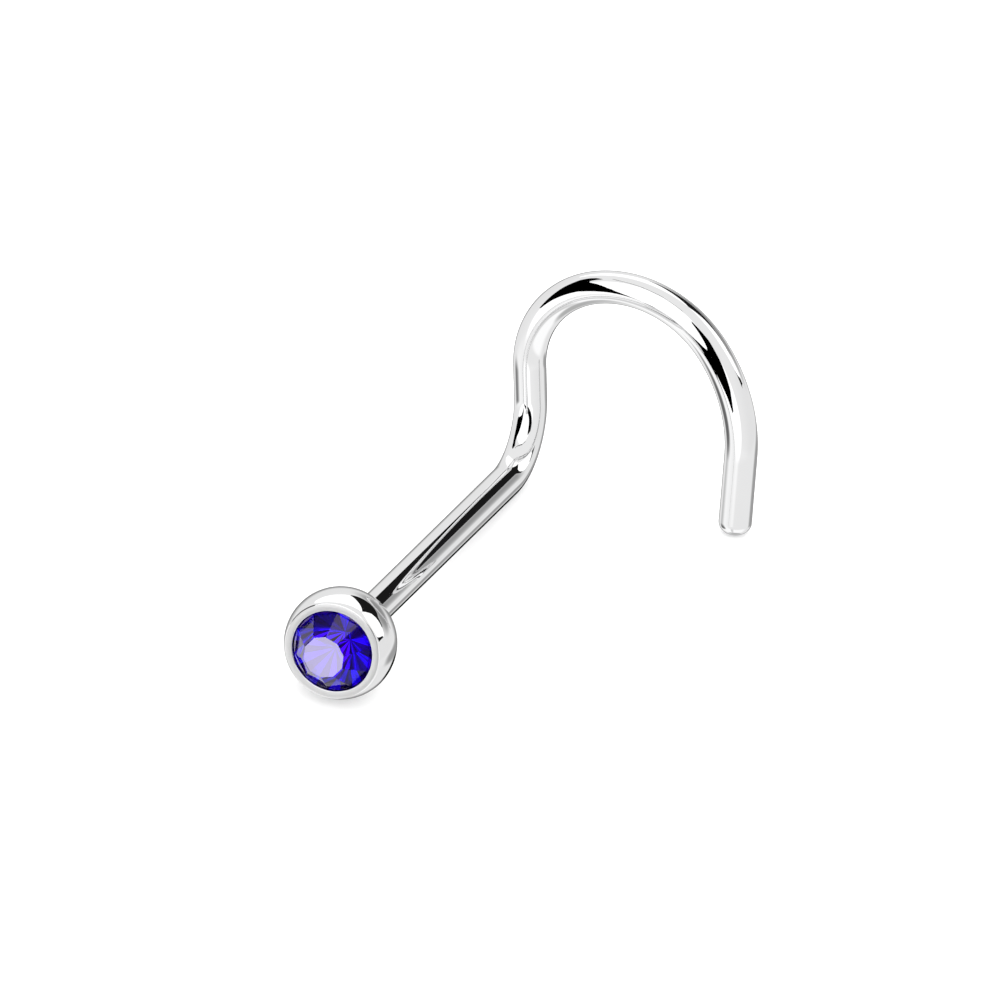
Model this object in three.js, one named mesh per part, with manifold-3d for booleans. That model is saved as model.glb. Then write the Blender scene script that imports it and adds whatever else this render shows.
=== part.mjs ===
// Nose stud of the screw type: a faceted blue stone in a steel ball, soldered to a bent steel wire.
// Millimetres, +Z up. The post points to +Y and the stone faces -Y. The stud lies on the surface
// z = 0 as it would by itself, on its ball, its bend and its tip, and the curl of the screw stands up.
import * as THREE from 'three';
import { mergeVertices } from 'three/addons/utils/BufferGeometryUtils.js';
import Module from 'manifold-3d';

// Wire of the post and the screw
const wireDiameter = 0.6;
const wearLength = 6.87; // post between the back of the ball and the screw
const bendRadius = 1.18; // middle line of the bend from the post to the leg
const bendTurn = 90;
const legLength = 0.63; // straight piece between the bend and the curl
const curlRadius = 2;
const tailLength = 1.53; // straight end of the wire
const tipRounding = 0.2; // rounded edge of the wire's end

// The curl turns in the plane square to the post. Each radius is a share of curlRadius.
const curlArcs = [
  { radiusShare: 0.937, turn: 73.7 },
  { radiusShare: 1.033, turn: 71.9 },
  { radiusShare: 1.523, turn: 40.7 },
];

// Ball with a flat rim round the opening for the stone
const openingDiameter = 1.52;
const rimWidth = 0.143;
const rimHeight = 0.474; // from the middle of the ball to the plane of the rim
const faceTilt = 8.5; // lean of the face away from the post's axis
const faceTiltSide = 41.2; // direction of that lean, from the leg towards the curl

// Stone: table, crown, girdle and pavilion, all with the same number of sides
const stoneSides = 10;
const stoneClearance = 0.03; // between the stone and the metal
const tableDiameter = 0.79;
const crownHeight = 0.32;
const girdleHeight = 0.05;
const girdleSink = 0.02; // the crown starts this far below the rim
const pavilionHeight = 0.55;
const stoneTurn = 29.6; // first corner of the stone, from the leg's direction

// Fineness of the curved surfaces
const wireSides = 20;
const wireSteps = 110;
const ballSides = 48;
const ballSteps = 16;
const tipSteps = 4;
const tipCutMargin = 0.01; // the cut that rounds the tip starts this far off the wire
const bendChecks = 90; // places where the bend is tried against the surface below it
const layingRounds = 30;

const steel = new THREE.MeshStandardMaterial({ color: 0xd8dade, roughness: 0.08, metalness: 1 });
const blueStone = new THREE.MeshStandardMaterial({ color: 0x3f49b8, roughness: 0.03, metalness: 0.35 });

const radians = THREE.MathUtils.degToRad;
const wireRadius = wireDiameter / 2;
const edgeRounding = Math.min(tipRounding, wireRadius * 0.9);
const openingRadius = openingDiameter / 2;
const rimRadius = openingRadius + rimWidth;
const ballRadius = Math.hypot(rimRadius, rimHeight);
const stoneRadius = openingRadius - stoneClearance;
const girdleTop = rimHeight - girdleSink;
const girdleBottom = girdleTop - girdleHeight;
const culet = girdleBottom - pavilionHeight;

// The seat runs beside the pavilion, stoneClearance away from it, up to the bore of the opening.
const pavilionSlope = pavilionHeight / stoneRadius;
const seatPoint = culet - stoneClearance * Math.hypot(1, pavilionSlope);
const seatTop = seatPoint + openingRadius * pavilionSlope;

// Directions before the stud is laid down, from the middle of the ball: the post's, the leg's and
// the one square to both. The post starts inside the ball, halfway between the seat and the back.
const postWay = new THREE.Vector3(1, 0, 0);
const legWay = new THREE.Vector3(0, 1, 0);
const sideWay = new THREE.Vector3(0, 0, 1);
const postStart = (ballRadius - seatPoint) / 2;

// Middle line of the wire: straight pieces and arcs that follow each other without a corner.
class WireLine extends THREE.Curve {
  constructor(start, way) {
    super();
    this.pieces = [];
    this.total = 0;
    this.end = start.clone();
    this.way = way.clone();
  }

  addStraight(length) {
    this.addPiece({ length });
  }

  addArc(radius, turn, axis) {
    const middle = axis.clone().cross(this.way).multiplyScalar(radius).add(this.end);
    this.addPiece({ length: radius * radians(turn), radius, axis, middle });
    this.way.applyAxisAngle(axis, radians(turn));
  }

  addPiece(piece) {
    const placed = { from: this.total, start: this.end.clone(), way: this.way.clone(), ...piece };
    this.pieces.push(placed);
    this.total += piece.length;
    this.end = this.pointOn(placed, piece.length);
  }

  pointOn(piece, length) {
    if (!piece.radius) return piece.start.clone().addScaledVector(piece.way, length);
    const spoke = piece.start.clone().sub(piece.middle);
    return spoke.applyAxisAngle(piece.axis, length / piece.radius).add(piece.middle);
  }

  getPoint(share, target = new THREE.Vector3()) {
    const length = share * this.total;
    const piece = this.pieces.findLast((row) => row.from <= length) ?? this.pieces[0];
    return target.copy(this.pointOn(piece, length - piece.from));
  }
}

function makeWireLine() {
  const line = new WireLine(postWay.clone().multiplyScalar(postStart), postWay);
  const bendReach = bendRadius * Math.tan(radians(bendTurn / 2));
  line.addStraight(ballRadius + wearLength + wireRadius - bendReach - postStart);
  line.addArc(bendRadius, bendTurn, sideWay);
  line.addStraight(legLength);
  for (const { radiusShare, turn } of curlArcs) {
    line.addArc(curlRadius * radiusShare, turn, postWay);
  }
  line.addStraight(tailLength);
  return line;
}

// A profile of [across, along] points, turned about the Z axis.
function spunGeometry(profile, sides) {
  const points = profile.map(([across, along]) => new THREE.Vector2(across, along));
  return new THREE.LatheGeometry(points, sides).rotateX(Math.PI / 2);
}

// The ball: round the back along the sphere, over the rim, and down the bore and the seat.
function makeBallGeometry() {
  const rimAngle = Math.asin(rimHeight / ballRadius);
  const profile = [[0, -ballRadius]];
  for (let step = 1; step <= ballSteps; step += 1) {
    const angle = (rimAngle + Math.PI / 2) * step / ballSteps - Math.PI / 2;
    profile.push([ballRadius * Math.cos(angle), ballRadius * Math.sin(angle)]);
  }
  profile.push([openingRadius, rimHeight], [openingRadius, seatTop], [0, seatPoint]);
  return spunGeometry(profile, ballSides);
}

function makeWireGeometry(line) {
  const outline = new THREE.Path().absarc(0, 0, wireRadius, 0, Math.PI * 2).getSpacedPoints(wireSides);
  const section = new THREE.Shape(outline.slice(0, -1));
  return new THREE.ExtrudeGeometry(section, { steps: wireSteps, bevelEnabled: false, extrudePath: line });
}

// A ring round the wire's end whose inside is the rounded edge of the tip.
function makeTipCutGeometry(line) {
  const outside = wireRadius + edgeRounding;
  const profile = [[outside, -edgeRounding], [outside, edgeRounding], [wireRadius - edgeRounding, edgeRounding]];
  for (let step = tipSteps; step >= 0; step -= 1) {
    const angle = Math.PI / 2 * step / tipSteps;
    const across = wireRadius - edgeRounding + (edgeRounding + tipCutMargin) * Math.cos(angle);
    profile.push([across, edgeRounding * (Math.sin(angle) - 1)]);
  }
  profile.push(profile[0]);
  const turn = new THREE.Quaternion().setFromUnitVectors(sideWay, line.way);
  return spunGeometry(profile, wireSides).applyQuaternion(turn).translate(...line.end);
}

function makeStoneGeometry() {
  const profile = [
    [0, culet],
    [stoneRadius, girdleBottom],
    [stoneRadius, girdleTop],
    [tableDiameter / 2, girdleTop + crownHeight],
    [0, girdleTop + crownHeight],
  ];
  return spunGeometry(profile, stoneSides).rotateZ(Math.PI / 2 + radians(stoneTurn));
}

const { Manifold, Mesh: SolidMesh } = await loadSolids();

async function loadSolids() {
  const library = await Module();
  library.setup();
  return library;
}

// Closed solid of a geometry: shared vertices merged, triangles without area left out.
function solidOf(geometry) {
  const bare = geometry.clone();
  bare.deleteAttribute('normal');
  bare.deleteAttribute('uv');
  const merged = mergeVertices(bare);
  const corners = Array.from(merged.index.array);
  const triVerts = [];
  for (let first = 0; first < corners.length; first += 3) {
    const [a, b, c] = corners.slice(first, first + 3);
    if (a !== b && b !== c && c !== a) triVerts.push(a, b, c);
  }
  const vertProperties = new Float32Array(merged.attributes.position.array);
  return new Manifold(new SolidMesh({ numProp: 3, vertProperties, triVerts: new Uint32Array(triVerts) }));
}

function geometryOf(solid) {
  const { vertProperties, triVerts } = solid.getMesh();
  const geometry = new THREE.BufferGeometry();
  geometry.setAttribute('position', new THREE.BufferAttribute(vertProperties, 3));
  geometry.setIndex(new THREE.BufferAttribute(triVerts, 1));
  geometry.computeVertexNormals();
  return geometry;
}

// Turn of the ball and the stone: their axis points away from the post and leans by faceTilt.
function makeFaceTurn() {
  const faceWay = postWay.clone().negate();
  const lean = legWay.clone().applyAxisAngle(postWay, radians(faceTiltSide));
  const axis = faceWay.clone().cross(lean);
  const straight = new THREE.Matrix4().makeBasis(legWay, sideWay.clone().negate(), faceWay);
  return new THREE.Matrix4().makeRotationAxis(axis, radians(faceTilt)).multiply(straight);
}

// Upward direction for which the ball, the bend and the tip all touch one flat surface.
function findRestingUp(line) {
  const tipMiddle = line.end.clone().addScaledVector(line.way, -edgeRounding);
  const bend = line.pieces.find((piece) => piece.axis === sideWay);
  const shares = Array.from({ length: bendChecks + 1 }, (_, step) => step / bendChecks);
  const bendPoints = shares.map((share) => line.pointOn(bend, bend.length * share));
  const up = legWay.clone();
  for (let round = 0; round < layingRounds; round += 1) {
    const ballTouch = up.clone().multiplyScalar(-ballRadius);
    const bendTouch = bendPoints.reduce((low, point) => (point.dot(up) < low.dot(up) ? point : low)).clone();
    bendTouch.addScaledVector(up, -wireRadius);
    const tipDrop = up.clone().addScaledVector(line.way, -up.dot(line.way)).normalize();
    const tipTouch = tipMiddle.clone().addScaledVector(tipDrop, edgeRounding - wireRadius);
    tipTouch.addScaledVector(up, -edgeRounding);
    up.crossVectors(bendTouch.sub(ballTouch), tipTouch.sub(ballTouch)).normalize();
    if (up.dot(legWay) < 0) up.negate();
  }
  return up;
}

const wire = makeWireLine();
const faceTurn = makeFaceTurn();
const ballSolid = solidOf(makeBallGeometry().applyMatrix4(faceTurn));
const wireSolid = solidOf(makeWireGeometry(wire)).subtract(solidOf(makeTipCutGeometry(wire)));

const setting = new THREE.Mesh(geometryOf(ballSolid.add(wireSolid)), steel);
setting.name = 'setting_and_screw';

const stone = new THREE.Mesh(makeStoneGeometry(), blueStone);
stone.name = 'stone';
stone.quaternion.setFromRotationMatrix(faceTurn);

// Lay the stud down, turn the post to +Y, and put the middle of its box over the origin.
const up = findRestingUp(wire);
const along = postWay.clone().addScaledVector(up, -up.dot(postWay)).normalize();
const across = along.clone().cross(up);
const stud = new THREE.Group();
stud.add(setting, stone);
stud.quaternion.setFromRotationMatrix(new THREE.Matrix4().makeBasis(across, along, up).transpose());
const box = new THREE.Box3().setFromObject(stud, true);
stud.position.set(-(box.min.x + box.max.x) / 2, -(box.min.y + box.max.y) / 2, -box.min.z);

const noseStud = new THREE.Group();
noseStud.name = 'nose_stud';
noseStud.add(stud);

export default noseStud;
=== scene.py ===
"""A nose stud of the screw type, dressed around its solids: a blue stone in a polished steel ball, on a
bent steel wire. Everything is in metres, in the frame of the solids, and lies on the floor z = 0."""
import math

import bpy
import numpy as np
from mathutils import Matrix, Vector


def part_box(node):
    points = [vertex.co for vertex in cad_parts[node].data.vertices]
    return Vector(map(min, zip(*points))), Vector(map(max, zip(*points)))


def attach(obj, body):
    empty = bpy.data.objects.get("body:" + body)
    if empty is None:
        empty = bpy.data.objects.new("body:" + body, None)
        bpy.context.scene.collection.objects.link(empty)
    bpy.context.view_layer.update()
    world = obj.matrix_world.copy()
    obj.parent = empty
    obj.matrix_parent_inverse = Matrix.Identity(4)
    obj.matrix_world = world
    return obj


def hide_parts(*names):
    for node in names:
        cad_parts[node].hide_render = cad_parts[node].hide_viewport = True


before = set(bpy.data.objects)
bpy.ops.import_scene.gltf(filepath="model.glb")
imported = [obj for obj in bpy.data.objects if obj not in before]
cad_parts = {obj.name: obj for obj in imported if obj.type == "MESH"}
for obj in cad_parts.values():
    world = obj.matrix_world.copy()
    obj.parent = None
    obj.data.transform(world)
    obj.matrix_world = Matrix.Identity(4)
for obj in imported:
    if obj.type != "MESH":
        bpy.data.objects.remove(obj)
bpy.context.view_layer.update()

MM = 0.001

# Wire of the post and the screw, as in the solids
wire_radius = 0.3 * MM
wear_length = 6.87 * MM
bend_radius = 1.18 * MM
leg_length = 0.63 * MM
curl_radius = 2 * MM
tail_length = 1.53 * MM
tip_rounding = 0.2 * MM
curl_arcs = [
    {"radius_share": 0.937, "turn": 73.7},
    {"radius_share": 1.033, "turn": 71.9},
    {"radius_share": 1.523, "turn": 40.7},
]

# Ball, rim and seat
opening_radius = 0.76 * MM
rim_width = 0.143 * MM
rim_height = 0.474 * MM
face_tilt = math.radians(8.5)
face_tilt_side = math.radians(41.2)
inner_edge = 0.012 * MM      # rounding of the rim at the opening
outer_edge = 0.018 * MM      # rounding of the rim towards the ball
outer_edge_share = 0.9       # how much of that rounding lies on the flat rim
solder_round = 0.05 * MM     # hollow round where the wire leaves the ball
rim_radius = opening_radius + rim_width
ball_radius = math.hypot(rim_radius, rim_height)

# Fineness of the metal's skin, as sides and as rings on each stretch from the rim to the tip
metal_sides = 96
rim_edge_rings = 6
sphere_rings = 61
neck_rings = 5
wire_rings = 420
tip_rings = 8
cap_shares = [0.6, 0.3, 0.0]   # the tip's flat end: share of its radius at each ring
steel_tone = 0.8               # how much light the polished steel gives back
mark_depth = 0.002 * MM        # depth of the polishing marks

# Stone
stone_sides = 10
stone_radius = 0.745 * MM
crown_radius = 0.725 * MM
table_radius = 0.395 * MM
crown_height = 0.37 * MM
girdle_sink = 0.02 * MM
girdle_step = 0.035 * MM     # from the crown's foot down to the girdle
girdle_height = 0.025 * MM
pavilion_height = 0.53 * MM
stone_clearance = 0.03 * MM   # between the stone's point and its seat
stone_turn = math.radians(29.6)
table_shift = np.array([-0.005, 0.038]) * MM   # the table's middle, across the face
# Painted light and shade of each side, by the numbers of the stone's materials: its crown facet, and the foil of
# its two wedges, so that the stone shows lit and shaded facets
side_painted_light_and_shade = [
    (2, 5, 5), (3, 4, 5), (3, 4, 5), (3, 4, 5), (2, 4, 5),
    (1, 4, 5), (1, 4, 5), (1, 4, 5), (2, 5, 4), (1, 5, 5),
]
# The girdle takes the dark foil, a painted shade.
girdle_painted_shade = 5
girdle_parts = 4             # straight parts of the girdle for each side
facet_edge = 0.007 * MM      # worn edge between the facets

# How the photograph looks at the stud: angles in degrees, and the ball's middle in its 1000 pixel frame
post_from_view = 36.0        # between the post and the line of sight
post_on_picture = 44.36      # the post's direction on the picture, up from the right
leg_turn = 41.2              # turn of the leg about the post
pixels_per_mm = 55.7
picture_size = 1000
ball_pixel = (340.6, 642.8)
camera_distance = 80 * MM

POST = np.array([1.0, 0.0, 0.0])
LEG = np.array([0.0, 1.0, 0.0])
SIDE = np.array([0.0, 0.0, 1.0])


def unit(vector):
    """The vector divided by its length."""
    return vector / np.linalg.norm(vector)


def turned(vector, axis, angle):
    """The vector turned about a unit axis by each of the angles, as rows: Rodrigues' formula."""
    angle = np.atleast_1d(angle)[:, None]
    return (vector * np.cos(angle) + np.cross(axis, vector) * np.sin(angle)
            + axis * (axis @ vector) * (1 - np.cos(angle)))


def wire_pieces():
    """The straight pieces and arcs of the wire's middle line, each with its start and directions."""
    rows = [{"length": ball_radius + wear_length + wire_radius - bend_radius}]
    rows.append({"radius": bend_radius, "turn": math.pi / 2, "axis": SIDE})
    rows.append({"length": leg_length})
    for arc in curl_arcs:
        rows.append({"radius": curl_radius * arc["radius_share"], "turn": math.radians(arc["turn"]), "axis": POST})
    rows.append({"length": tail_length})
    start, way, beside, begin = np.zeros(3), POST, LEG, 0.0
    for row in rows:
        row.update(start=start, way=way, beside=beside, begin=begin)
        if "radius" in row:
            row["length"] = row["radius"] * row["turn"]
            row["middle"] = start + np.cross(row["axis"], way) * row["radius"]
            start = turned(start - row["middle"], row["axis"], row["turn"])[0] + row["middle"]
            way = turned(way, row["axis"], row["turn"])[0]
            beside = turned(beside, row["axis"], row["turn"])[0]
        else:
            start = start + way * row["length"]
        begin += row["length"]
    return rows


def wire_path(pieces, stations):
    """Points, ways on and side vectors of the wire at each length from the middle of the ball."""
    points, ways, besides = (np.empty((len(stations), 3)) for _ in range(3))
    index = np.searchsorted([row["begin"] for row in pieces], stations, side="right") - 1
    for number, row in enumerate(pieces):
        here = index == number
        run = stations[here] - row["begin"]
        if "radius" in row:
            angle = run / row["radius"]
            points[here] = turned(row["start"] - row["middle"], row["axis"], angle) + row["middle"]
            ways[here] = turned(row["way"], row["axis"], angle)
            besides[here] = turned(row["beside"], row["axis"], angle)
        else:
            points[here] = row["start"] + run[:, None] * row["way"]
            ways[here] = row["way"]
            besides[here] = row["beside"]
    return points, ways, besides


def resting_axes(pieces):
    """The row frame's axes in the wire's own frame, for a stud that lies on ball, bend and tip."""
    bend = pieces[1]
    last = pieces[-1]
    bend_line = wire_path(pieces, bend["begin"] + np.linspace(0, bend["length"], 91, endpoint=False))[0]
    tip_middle = last["start"] + last["way"] * (last["length"] - tip_rounding)
    up = LEG
    for _ in range(30):
        ball_touch = -ball_radius * up
        bend_touch = bend_line[np.argmin(bend_line @ up)] - wire_radius * up
        tip_side = unit(up - last["way"] * (up @ last["way"]))
        tip_touch = tip_middle - (wire_radius - tip_rounding) * tip_side - tip_rounding * up
        up = unit(np.cross(bend_touch - ball_touch, tip_touch - ball_touch))
        up = up * np.sign(up @ LEG)
    along = unit(POST - up * (up @ POST))
    return np.array([np.cross(along, up), along, up])


def face_axes():
    """Two directions across the face and the one out of it, in the wire's own frame."""
    lean = turned(LEG, POST, face_tilt_side)[0]
    axis = np.cross(-POST, lean)
    return [turned(vector, axis, face_tilt)[0] for vector in (LEG, -SIDE, -POST)], axis


def arc_profile(middle, radius, from_angle, to_angle, steps):
    """Points of an arc in the plane of (across, along), without its first point."""
    angle = np.radians(np.linspace(from_angle, to_angle, steps + 1)[1:])
    return np.column_stack([middle[0] + radius * np.cos(angle), middle[1] + radius * np.sin(angle)])


def rings_to_mesh(name, rings):
    """A closed skin over rings of points, (rings, sides, 3): its first and last ring are single points."""
    count, sides = rings.shape[:2]
    inner = rings[1:-1].reshape(-1, 3)
    points = np.vstack([rings[:1, 0], inner, rings[-1:, 0]])
    corner = 1 + np.arange((count - 2) * sides).reshape(count - 2, sides)
    beside = np.roll(corner, -1, axis=1)
    quads = np.stack([corner[:-1], beside[:-1], beside[1:], corner[1:]], axis=-1).reshape(-1, 4)
    first = np.column_stack([np.zeros(sides, int), beside[0], corner[0]])
    last = np.column_stack([np.full(sides, len(points) - 1), corner[-1], beside[-1]])
    faces = [tuple(face) for face in np.vstack([first, last]).tolist()] + quads.tolist()
    mesh = bpy.data.meshes.new(name)
    mesh.from_pydata(points.tolist(), [], faces)
    mesh.validate()
    mesh.update()
    return mesh


def add_object(name, mesh):
    """The mesh as an object at the origin."""
    piece = bpy.data.objects.new(name, mesh)
    bpy.context.scene.collection.objects.link(piece)
    return piece


def metal_rings(pieces):
    """The skin of ball and wire as rings, (rings, sides, 3), and how many of them shape seat and rim.

    Each ring is a circle about a middle point: first about the stone's axis, up the bore and over the
    rim, then on the sphere, with its axis turning from the stone's to the post's, then about the wire.
    """
    (across, beside, out), axis = face_axes()
    slope = pavilion_height / stone_radius
    girdle = rim_height - girdle_sink - girdle_step - girdle_height
    seat_point = girdle - pavilion_height - stone_clearance
    seat_top = seat_point + opening_radius * slope
    rim_inner = opening_radius + inner_edge
    edge_across = rim_radius - outer_edge * outer_edge_share
    profile = np.vstack([
        [[0, seat_point], [opening_radius * 0.5, (seat_point + seat_top) / 2], [opening_radius, seat_top]],
        [[opening_radius, rim_height - inner_edge * 3], [opening_radius, rim_height - inner_edge]],
        arc_profile((rim_inner, rim_height - inner_edge), inner_edge, 180, 90, 5),
        [[(rim_inner + edge_across) / 2, rim_height]],
        [[edge_across, rim_height]],
    ])
    turn = np.linspace(0, 2 * math.pi, metal_sides, endpoint=False)
    circle = np.column_stack([np.cos(turn), np.sin(turn)])
    head = (profile[:, None, :1] * (circle[None, :, :1] * across + circle[None, :, 1:] * beside)
            + profile[:, None, 1:] * out)

    # The rim's outer edge and the sphere: angle from the back of the ball, and share of the tilt left
    edge_start = math.atan2(edge_across, rim_height)
    edge_end = math.atan2(rim_radius, rim_height) + outer_edge / ball_radius
    edge = np.linspace(0, 1, rim_edge_rings + 1)[1:]
    edge_angle = edge_start + (edge_end - edge_start) * edge
    edge_reach = np.hypot(edge_across, rim_height) * (1 - edge) ** 2 + ball_radius * (1 - (1 - edge) ** 2)
    neck_radius = wire_radius + solder_round
    neck_angle = math.pi - math.asin(neck_radius / ball_radius)
    sphere_angle = np.linspace(edge_end, neck_angle, sphere_rings + 1)[1:]
    angle = np.concatenate([edge_angle, sphere_angle])
    reach = np.concatenate([edge_reach, np.full(sphere_rings, ball_radius)])
    tilt = np.concatenate([np.ones(rim_edge_rings), np.linspace(1, 0, sphere_rings)])
    ways = turned(-POST, axis, face_tilt * tilt)
    legs = turned(LEG, axis, face_tilt * tilt)
    sides = turned(-SIDE, axis, face_tilt * tilt)
    ball = (np.sin(angle) * reach)[:, None, None] * (
        circle[None, :, :1] * legs[:, None] + circle[None, :, 1:] * sides[:, None])
    ball = ball + (np.cos(angle) * reach)[:, None, None] * ways[:, None]

    # The wire: a small hollow round at the ball, the long run and the rounded tip
    total = pieces[-1]["begin"] + pieces[-1]["length"]
    neck = ball_radius * -math.cos(neck_angle)
    round_angle = np.radians(np.linspace(0, 90, neck_rings + 1)[1:])
    round_radius = wire_radius + solder_round * (1 - np.sin(round_angle))
    round_station = neck + solder_round * (1 - np.cos(round_angle))
    run = np.linspace(round_station[-1], total - tip_rounding, wire_rings + 1)[1:]
    tip_angle = np.radians(np.linspace(0, 80, tip_rings + 1)[1:])
    tip_radius = wire_radius - tip_rounding + tip_rounding * np.cos(tip_angle)
    tip_station = total - tip_rounding + tip_rounding * np.sin(tip_angle)
    cap = np.array(cap_shares)
    cap_station = total - (total - tip_station[-1]) * cap ** 2
    station = np.concatenate([round_station, run, tip_station, cap_station])
    radius = np.concatenate([round_radius, np.full(wire_rings, wire_radius), tip_radius, cap * tip_radius[-1]])
    points, onward, besides = wire_path(pieces, station)
    others = np.cross(besides, onward)
    wire = points[:, None] + radius[:, None, None] * (
        circle[None, :, :1] * besides[:, None] + circle[None, :, 1:] * others[:, None])
    return np.vstack([head, ball, wire]), len(profile)


def rim_faces(head_rings):
    """Finish of each face of the metal, in the order of rings_to_mesh: 1 on the flat rim, 0 elsewhere."""
    ring_count = head_rings + rim_edge_rings + sphere_rings + neck_rings + wire_rings + tip_rings + len(cap_shares)
    first = np.zeros(2 * metal_sides, int)
    between = np.arange(1, ring_count - 2)
    face_material = ((between >= head_rings - 3) & (between < head_rings)).astype(int)
    return np.concatenate([first, np.repeat(face_material, metal_sides)])


def stone_mesh(name, place):
    """The stone: table, crown, a narrow step to the round girdle, and a pavilion of wedges down to the point.

    Each level is a regular polygon about the stone's axis, given by its radius and its height.
    """
    across, beside, out = face_axes()[0]
    girdle_sides = stone_sides * girdle_parts
    foot = rim_height - girdle_sink
    girdle_low = foot - girdle_step - girdle_height

    def level(radius, height, sides):
        turn = stone_turn + 2 * math.pi * np.arange(sides) / sides
        flat = np.cos(turn)[:, None] * across + np.sin(turn)[:, None] * beside
        return radius * flat + height * out

    points = np.vstack([
        level(table_radius, foot + crown_height, stone_sides) + table_shift[0] * across + table_shift[1] * beside,
        level(crown_radius, foot, stone_sides),
        level(stone_radius, foot - girdle_step, girdle_sides),
        level(stone_radius, girdle_low, girdle_sides),
        (girdle_low - pavilion_height) * out[None],
    ])
    crown_at, top_at = stone_sides, 2 * stone_sides
    low_at = top_at + girdle_sides
    faces, face_material = [list(range(stone_sides))], [0]
    for side in range(stone_sides):
        after = (side + 1) % stone_sides
        arc = [(side * girdle_parts + part) % girdle_sides for part in range(girdle_parts + 1)]
        # Each side's crown facet and two foil wedges take their painted light or shade.
        crown, *foil = side_painted_light_and_shade[side]
        faces.append([side, crown_at + side, crown_at + after, after])
        faces.append([crown_at + side, *(top_at + part for part in arc), crown_at + after])
        faces.append([len(points) - 1, low_at + arc[2], low_at + arc[1], low_at + arc[0]])
        faces.append([len(points) - 1, low_at + arc[4], low_at + arc[3], low_at + arc[2]])
        face_material.extend([crown, crown, *foil])
    for part in range(girdle_sides):
        after = (part + 1) % girdle_sides
        faces.append([top_at + part, low_at + part, low_at + after, top_at + after])
        face_material.append(girdle_painted_shade)
    mesh = bpy.data.meshes.new(name)
    mesh.from_pydata(place(points).tolist(), [], faces)
    mesh.polygons.foreach_set("material_index", face_material)
    mesh.update()
    return mesh


def new_material(name, values):
    """A material with its node tree and its shader, whose sockets take the given values."""
    material = bpy.data.materials.new(name)
    material.use_nodes = True
    shader = material.node_tree.nodes["Principled BSDF"]
    for socket, value in values.items():
        shader.inputs[socket].default_value = value
    return material, material.node_tree, shader


def polish_marks_group():
    """Shared wear of polished surfaces: cloudy patches, from 0 to 1, and a faint uneven normal."""
    group = bpy.data.node_groups.new("polish_marks", "ShaderNodeTree")
    for name, default in (("Patch Scale", 900.0), ("Grain Scale", 9000.0), ("Strength", 0.02)):
        group.interface.new_socket(name, in_out="INPUT", socket_type="NodeSocketFloat").default_value = default
    group.interface.new_socket("Patches", in_out="OUTPUT", socket_type="NodeSocketFloat")
    group.interface.new_socket("Normal", in_out="OUTPUT", socket_type="NodeSocketVector")
    nodes, links = group.nodes, group.links
    inputs = nodes.new("NodeGroupInput")
    outputs = nodes.new("NodeGroupOutput")
    place = nodes.new("ShaderNodeTexCoord")
    patches = nodes.new("ShaderNodeTexNoise")
    grain = nodes.new("ShaderNodeTexNoise")
    bump = nodes.new("ShaderNodeBump")
    patches.inputs["Detail"].default_value = 3
    grain.inputs["Detail"].default_value = 2
    bump.inputs["Distance"].default_value = mark_depth
    links.new(place.outputs["Object"], patches.inputs["Vector"])
    links.new(place.outputs["Object"], grain.inputs["Vector"])
    links.new(inputs.outputs["Patch Scale"], patches.inputs["Scale"])
    links.new(inputs.outputs["Grain Scale"], grain.inputs["Scale"])
    links.new(inputs.outputs["Strength"], bump.inputs["Strength"])
    links.new(grain.outputs["Fac"], bump.inputs["Height"])
    links.new(patches.outputs["Fac"], outputs.inputs["Patches"])
    links.new(bump.outputs["Normal"], outputs.inputs["Normal"])
    return group


def steel_material(name, marks, colours, roughness, strength):
    """Steel whose tone and gloss drift between two values in soft patches."""
    material, tree, shader = new_material(name, {"Metallic": 1.0})
    group = tree.nodes.new("ShaderNodeGroup")
    group.node_tree = marks
    group.inputs["Strength"].default_value = strength
    tone = tree.nodes.new("ShaderNodeMix")
    tone.data_type = "RGBA"
    tone.inputs["A"].default_value = (*colours[0], 1)
    tone.inputs["B"].default_value = (*colours[1], 1)
    gloss = tree.nodes.new("ShaderNodeMapRange")
    gloss.inputs["To Min"].default_value = roughness[0]
    gloss.inputs["To Max"].default_value = roughness[1]
    tree.links.new(group.outputs["Patches"], tone.inputs["Factor"])
    tree.links.new(group.outputs["Patches"], gloss.inputs["Value"])
    tree.links.new(tone.outputs["Result"], shader.inputs["Base Color"])
    tree.links.new(gloss.outputs["Result"], shader.inputs["Roughness"])
    tree.links.new(group.outputs["Normal"], shader.inputs["Normal"])
    return material


def stone_material(name, values, colours, scale):
    """Glass or foil whose colour drifts a little inside the stone."""
    material, tree, shader = new_material(name, values)
    place = tree.nodes.new("ShaderNodeTexCoord")
    noise = tree.nodes.new("ShaderNodeTexNoise")
    tone = tree.nodes.new("ShaderNodeMix")
    tone.data_type = "RGBA"
    noise.inputs["Scale"].default_value = scale
    tone.inputs["A"].default_value = (*colours[0], 1)
    tone.inputs["B"].default_value = (*colours[1], 1)
    tree.links.new(place.outputs["Object"], noise.inputs["Vector"])
    tree.links.new(noise.outputs["Fac"], tone.inputs["Factor"])
    tree.links.new(tone.outputs["Result"], shader.inputs["Base Color"])
    return material


def camera_axes():
    """Right, up and towards the camera, in the wire's own frame."""
    away, turn = math.radians(post_from_view), math.radians(post_on_picture)
    post = np.array([math.sin(away) * math.cos(turn), math.sin(away) * math.sin(turn), -math.cos(away)])
    first = np.array([math.cos(away) * math.cos(turn), math.cos(away) * math.sin(turn), math.sin(away)])
    second = np.array([-math.sin(turn), math.cos(turn), 0])
    leg = first * math.cos(math.radians(leg_turn)) + second * math.sin(math.radians(leg_turn))
    return np.column_stack([post, leg, np.cross(post, leg)])


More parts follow.
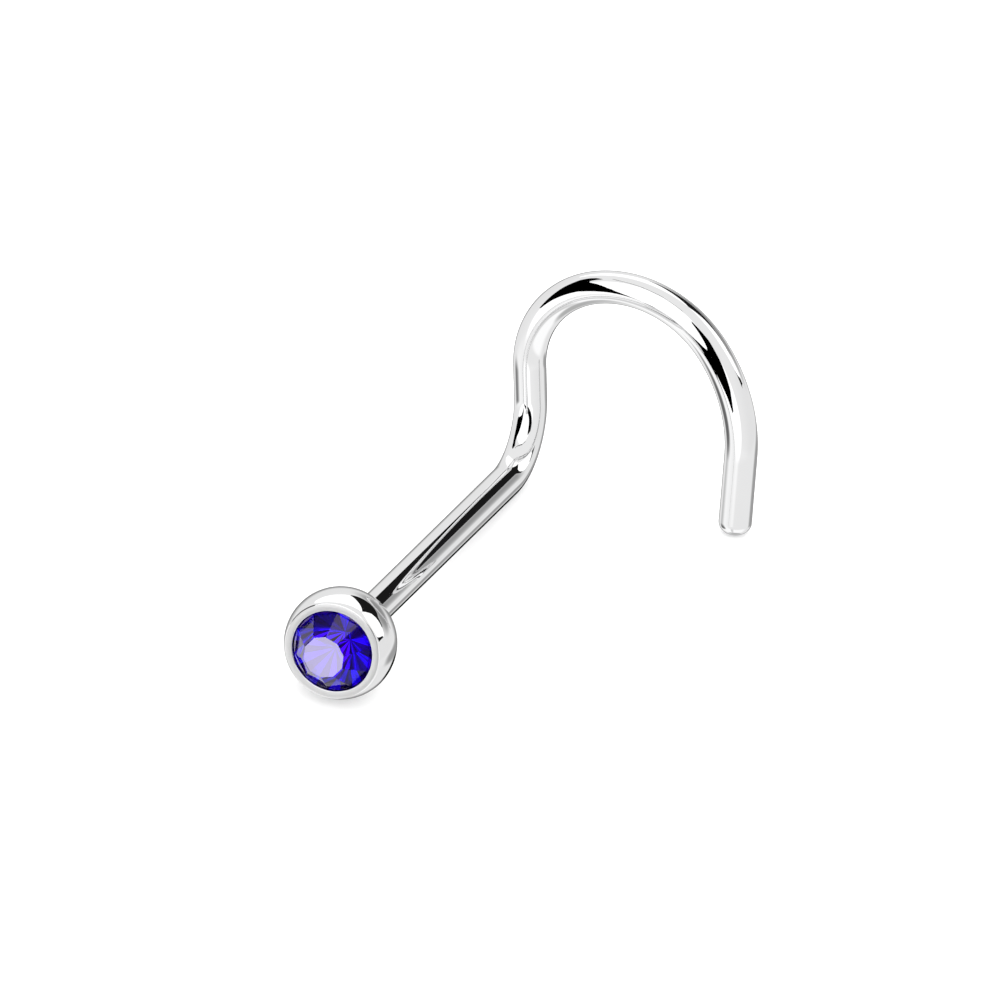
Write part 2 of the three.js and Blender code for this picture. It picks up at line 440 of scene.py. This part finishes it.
def add_camera(lay, ball_middle):
    """A camera without perspective, aimed so that the ball's middle falls on its pixel of the picture."""
    right, up, view = (lay @ axis for axis in camera_axes())
    centre = picture_size / 2
    aim = (ball_middle + right * (centre - ball_pixel[0]) / pixels_per_mm * MM
           + up * (ball_pixel[1] - centre) / pixels_per_mm * MM)
    data = bpy.data.cameras.new("camera")
    data.type = "ORTHO"
    data.ortho_scale = picture_size / pixels_per_mm * MM
    data.clip_start = 1 * MM
    data.clip_end = 2
    camera = bpy.data.objects.new("camera", data)
    bpy.context.scene.collection.objects.link(camera)
    place = np.eye(4)
    place[:3, :3] = np.column_stack([right, up, view])
    place[:3, 3] = aim + view * camera_distance
    camera.matrix_world = place.T.tolist()
    bpy.context.scene.camera = camera


def add_floor():
    """A pale matt sheet at z = 0, which the polished surfaces don't mirror."""
    reach = 1.5
    mesh = bpy.data.meshes.new("floor")
    mesh.from_pydata([(-reach, -reach, 0), (reach, -reach, 0), (reach, reach, 0), (-reach, reach, 0)], [],
                     [(0, 1, 2, 3)])
    material = stone_material("pale_floor", {"Roughness": 0.9, "Specular IOR Level": 0.1},
                              [(0.93, 0.93, 0.93), (0.95, 0.95, 0.95)], 40)
    mesh.materials.append(material)
    floor = add_object("floor", mesh)
    floor.visible_glossy = False
    floor.visible_transmission = False


# The light tent, as directions seen from the stud in degrees. A shade is the grey that polished steel shows,
# one for each zone of its cloth, lamp or gap, and for the ground zone, which is painted shade.
tent_radius = 0.25
tent_shade = 0.905
world_strength = 1.7
tent_zones = [
    {"name": "back_cloth", "azimuth": 85, "height": -25, "across": 105, "up": 48, "soft": 0.6, "shade": 0.88},
    {"name": "back_fold", "azimuth": 75, "height": 9, "across": 24, "up": 12, "soft": 1.0, "shade": 0.55},
    {"name": "floor_cloth", "azimuth": -80, "height": -50, "across": 92, "up": 29, "soft": 0.5, "shade": 0.99},
    {"name": "floor_fold", "azimuth": -84, "height": -44, "across": 9, "up": 26, "soft": 1.0, "shade": 0.82},
    {"name": "floor_edge", "azimuth": -20, "height": -26, "across": 100, "up": 6, "soft": 0.8, "shade": 0.9},
    {"name": "front_light", "azimuth": -100, "height": 25, "across": 54, "up": 48, "soft": 0.06, "shade": 1.06},
    {"name": "left_hem", "azimuth": -160, "height": -39, "across": 22, "up": 8, "soft": 0.9, "shade": 0.4},
    {"name": "right_hem", "azimuth": 62, "height": -30, "across": 22, "up": 6, "soft": 0.9, "shade": 0.6},
    {"name": "back_edge", "azimuth": 113, "height": -35, "across": 32, "up": 26, "soft": 0.8, "shade": 0.5},
    {"name": "back_gap", "azimuth": 89, "height": -41, "across": 13, "up": 6, "soft": 0.5, "shade": 0.1},
    # The ground zone is painted shade: a darker patch straight below the stud that stands in for the shade under
    # it, as the polished surfaces mirror it.
    {"name": "ground", "azimuth": 0, "height": -90, "across": 190, "up": 20, "soft": 0.6, "shade": 0.68},
]
# Lamps and gaps of the tent, each between a lower and an upper height at every azimuth
tent_strips = [
    {"name": "side_lamp", "shade": 1.06, "rows": [
        {"azimuth": 21, "low": 22, "high": 32}, {"azimuth": 25, "low": 12, "high": 38},
        {"azimuth": 30, "low": 8.5, "high": 43}, {"azimuth": 36, "low": 5, "high": 46.5},
        {"azimuth": 42, "low": 7, "high": 49}, {"azimuth": 47, "low": 13.5, "high": 50.5},
        {"azimuth": 55, "low": 25, "high": 52.5}, {"azimuth": 60, "low": 35, "high": 53},
        {"azimuth": 61.5, "low": 45, "high": 51},
    ]},
    {"name": "back_lamp", "shade": 1.06, "rows": [
        {"azimuth": 63, "low": 51, "high": 54}, {"azimuth": 76, "low": 46, "high": 58},
        {"azimuth": 93, "low": 39, "high": 60}, {"azimuth": 108, "low": 29, "high": 60},
        {"azimuth": 120, "low": 29, "high": 58}, {"azimuth": 130, "low": 26, "high": 55},
        {"azimuth": 140, "low": 21, "high": 49}, {"azimuth": 147, "low": 18, "high": 42},
        {"azimuth": 152, "low": 22, "high": 32},
    ]},
    {"name": "lamp_gap", "shade": 0.12, "rows": [
        {"azimuth": 47, "low": 13, "high": 14.5}, {"azimuth": 50, "low": 13, "high": 18},
        {"azimuth": 55, "low": 17.5, "high": 25}, {"azimuth": 60, "low": 20, "high": 33},
        {"azimuth": 62, "low": 20, "high": 51}, {"azimuth": 69, "low": 19, "high": 48.5},
        {"azimuth": 76, "low": 19, "high": 46}, {"azimuth": 83, "low": 20, "high": 43.5},
        {"azimuth": 93, "low": 22.5, "high": 38.5}, {"azimuth": 100, "low": 24.5, "high": 33.5},
        {"azimuth": 106, "low": 27, "high": 29},
    ]},
    {"name": "lamp_foot", "shade": 0.12, "rows": [
        {"azimuth": 21, "low": 8, "high": 18}, {"azimuth": 25, "low": 8, "high": 14},
        {"azimuth": 30, "low": 7, "high": 11}, {"azimuth": 36, "low": 5, "high": 8},
    ]},
    {"name": "left_gap", "shade": 0.0, "rows": [
        {"azimuth": -188, "low": 36, "high": 38}, {"azimuth": -186, "low": 30, "high": 42},
        {"azimuth": -180, "low": 26, "high": 45}, {"azimuth": -173, "low": 17.5, "high": 47},
        {"azimuth": -165, "low": 9, "high": 37.3}, {"azimuth": -155, "low": -4, "high": 34},
        {"azimuth": -148, "low": -5, "high": 33.2}, {"azimuth": -140, "low": -1, "high": 31.5},
        {"azimuth": -130, "low": 0, "high": 26}, {"azimuth": -124, "low": 0, "high": 20.5},
        {"azimuth": -117, "low": -6, "high": 11.5}, {"azimuth": -112, "low": -11.5, "high": 0},
        {"azimuth": -110, "low": -15, "high": -8}, {"azimuth": -108.8, "low": -20, "high": -18},
    ]},
    {"name": "front_gap", "shade": 0.0, "rows": [
        {"azimuth": -110.5, "low": -25, "high": -24}, {"azimuth": -107, "low": -22, "high": -19},
        {"azimuth": -103, "low": -19, "high": -13.5}, {"azimuth": -95, "low": -16, "high": -6},
        {"azimuth": -90, "low": -16, "high": -2}, {"azimuth": -81, "low": -12, "high": 5},
        {"azimuth": -75, "low": -7.7, "high": 12}, {"azimuth": -71, "low": -4.7, "high": 19},
        {"azimuth": -66, "low": -1, "high": 31}, {"azimuth": -62, "low": 2, "high": 44},
        {"azimuth": -55, "low": 10, "high": 50}, {"azimuth": -50, "low": 16.5, "high": 46},
        {"azimuth": -46, "low": 22, "high": 41}, {"azimuth": -42, "low": 35, "high": 37},
    ]},
    {"name": "top_seam", "shade": 0.0, "rows": [
        {"azimuth": -180, "low": 53, "high": 54.5}, {"azimuth": -168, "low": 58, "high": 60.5},
        {"azimuth": -156, "low": 65, "high": 68}, {"azimuth": -144, "low": 70, "high": 72.5},
        {"azimuth": -120, "low": 73, "high": 75.5}, {"azimuth": -96, "low": 74.5, "high": 77},
        {"azimuth": -84, "low": 74, "high": 76}, {"azimuth": -72, "low": 71, "high": 73},
        {"azimuth": -60, "low": 67, "high": 69.5}, {"azimuth": -50, "low": 62, "high": 65},
    ]},
]


def tent_light(shade):
    """What the tent sends out so that the steel shows the shade: the shade's linear light over the steel's own."""
    return np.power(shade, 2.2) / steel_tone


def tent_points(azimuth, height, radius):
    """Points on a sphere round the stud, from directions in degrees."""
    azimuth, height = np.radians(azimuth), np.radians(height)
    level = radius * np.cos(height)
    return np.stack([level * np.cos(azimuth), level * np.sin(azimuth), radius * np.sin(height)], axis=-1)


def grid_mesh(name, points):
    """A skin of quads over a grid of points, (rows, columns, 3)."""
    rows, columns = points.shape[:2]
    corner = np.arange(rows * columns).reshape(rows, columns)
    quads = np.stack([corner[:-1, :-1], corner[1:, :-1], corner[1:, 1:], corner[:-1, 1:]], axis=-1)
    mesh = bpy.data.meshes.new(name)
    mesh.from_pydata(points.reshape(-1, 3).tolist(), [], quads.reshape(-1, 4).tolist())
    return mesh


def tent_material():
    """Cloth that gives off the light of its glow attribute."""
    material, tree, shader = new_material("tent_cloth", {
        "Base Color": (0, 0, 0, 1), "Roughness": 1.0, "Specular IOR Level": 0.0, "Emission Strength": 1.0})
    glow = tree.nodes.new("ShaderNodeAttribute")
    glow.attribute_name = "glow"
    tree.links.new(glow.outputs["Color"], shader.inputs["Emission Color"])
    material.cycles.emission_sampling = "NONE"


def add_tent_piece(name, points, glow):
    """A skin of the tent that only the polished surfaces see, with its own light in an attribute."""
    mesh = grid_mesh(name, points)
    colours = mesh.color_attributes.new("glow", "FLOAT_COLOR", "POINT")
    values = np.ones((glow.size, 4))
    values[:, :3] = glow.reshape(-1, 1)
    colours.data.foreach_set("color", values.ravel().tolist())
    mesh.materials.append(bpy.data.materials["tent_cloth"])
    piece = add_object(name, mesh)
    piece.visible_camera = False
    piece.visible_diffuse = False
    piece.visible_shadow = False
    piece.visible_volume_scatter = False


def add_tent():
    """The tent: a sphere whose zones melt into each other, with lamps and gaps in front of it."""
    tent_material()
    azimuth, height = np.meshgrid(np.linspace(-180, 180, 241), np.linspace(-90, 90, 121), indexing="ij")
    shade = np.full(azimuth.shape, tent_shade)
    for zone in tent_zones:
        beside = (np.mod(azimuth - zone["azimuth"] + 180, 360) - 180) / zone["across"]
        above = (height - zone["height"]) / zone["up"]
        reach = np.cbrt(np.abs(beside) ** 3 + np.abs(above) ** 3)
        share = np.clip((1 - reach) / zone["soft"] + 0.5, 0, 1)
        share = share * share * (3 - 2 * share)
        shade = shade * (1 - share) + zone["shade"] * share
    add_tent_piece("tent", tent_points(azimuth, height, tent_radius), tent_light(shade))

    for order, strip in enumerate(tent_strips):
        rows = np.array([[row["azimuth"], row["low"], row["high"]] for row in strip["rows"]])
        along = np.arange(rows[0, 0], rows[-1, 0] + 0.5, 0.5)
        low = np.interp(along, rows[:, 0], rows[:, 1])
        high = np.interp(along, rows[:, 0], rows[:, 2])
        part = np.linspace(0, 1, 9)
        height = low[:, None] + (high - low)[:, None] * part
        azimuth = np.repeat(along[:, None], len(part), axis=1)
        points = tent_points(azimuth, height, tent_radius * (0.97 - 0.02 * order))
        add_tent_piece(strip["name"], points, np.full(azimuth.shape, tent_light(strip["shade"])))


def add_light():
    """Even white light from all round."""
    world = bpy.data.worlds.new("studio")
    bpy.context.scene.world = world
    world.use_nodes = True
    background = world.node_tree.nodes["Background"]
    background.inputs["Color"].default_value = (1, 1, 1, 1)
    background.inputs["Strength"].default_value = world_strength


pieces = wire_pieces()
lay = resting_axes(pieces)
rings, head_rings = metal_rings(pieces)
rings = rings @ lay.T
low, high = (np.array(corner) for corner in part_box("setting_and_screw"))
flat = rings.reshape(-1, 3)
shift = (low + high) / 2 - (flat.min(0) + flat.max(0)) / 2
shift[2] = low[2] - flat[:, 2].min()

marks = polish_marks_group()
polished = steel_material("polished_steel", marks, [(0.78, 0.78, 0.783), (0.82, 0.82, 0.823)], (0.015, 0.03), 0.02)
satin = steel_material("satin_rim", marks, [(0.7, 0.7, 0.7), (0.74, 0.74, 0.74)], (0.28, 0.36), 0.1)

metal_mesh = rings_to_mesh("polished_metal", rings + shift)
metal_mesh.materials.append(polished)
metal_mesh.materials.append(satin)
metal_mesh.polygons.foreach_set("use_smooth", [True] * len(metal_mesh.polygons))
metal_mesh.polygons.foreach_set("material_index", rim_faces(head_rings))
metal = add_object("polished_metal", metal_mesh)
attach(metal, "root")
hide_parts("setting_and_screw")

crystal_mesh = stone_mesh("faceted_stone", lambda points: points @ lay.T + shift)
# The stone's materials are lit and shaded copies of one blue glass: the table is glass with a partly metallic pale
# sheen, a painted reflection; the pale crown is partly metallic, a painted reflection; the violet crown reflects
# more, a painted reflection; the deep crown's blue-tinted reflection is painted shade; the bright foil glows, a
# painted glow; the dark foil is painted shade.
for name, values, colours, scale in (
    ("stone_table_with_painted_reflection", {"Metallic": 0.55, "Roughness": 0.02, "IOR": 1.55, "Transmission Weight": 1.0},
     [(0.58, 0.52, 0.80), (0.66, 0.62, 0.86)], 1800),
    ("stone_crown_deep_painted_shade", {"Roughness": 0.0, "IOR": 1.55, "Transmission Weight": 1.0,
                          "Specular Tint": (0.15, 0.05, 0.9, 1)}, [(0.3, 0.08, 1.0), (0.4, 0.15, 1.0)], 1500),
    ("stone_crown_violet_painted_reflection", {"Roughness": 0.0, "IOR": 1.75, "Transmission Weight": 1.0,
                            "Specular Tint": (1.0, 0.8, 1.0, 1)}, [(0.3, 0.08, 1.0), (0.4, 0.15, 1.0)], 1500),
    ("stone_crown_pale_painted_reflection", {"Metallic": 0.3, "Roughness": 0.0, "IOR": 1.55, "Transmission Weight": 1.0},
     [(0.5, 0.42, 0.62), (0.56, 0.5, 0.7)], 1500),
    # Painted glow: the bright foil gives off blue light of its own.
    ("stone_foil_painted_glow", {"Metallic": 1.0, "Roughness": 0.1, "Emission Color": (0.02, 0.0, 1.0, 1),
                    "Emission Strength": 0.3}, [(0.12, 0.0, 1.0), (0.2, 0.02, 1.0)], 2500),
    ("stone_foil_painted_shade", {"Metallic": 1.0, "Roughness": 0.08}, [(0.03, 0.0, 0.12), (0.05, 0.005, 0.25)], 2500),
):
    crystal_mesh.materials.append(stone_material(name, values, colours, scale))
crystal = add_object("faceted_stone", crystal_mesh)
edges = crystal.modifiers.new("facet_edges", "BEVEL")
edges.width = facet_edge
edges.segments = 1
edges.limit_method = "ANGLE"
edges.angle_limit = math.radians(14)
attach(crystal, "root")
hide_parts("stone")

add_camera(lay, shift)
add_floor()
add_tent()
add_light()
bpy.context.scene.view_settings.view_transform = "Standard"
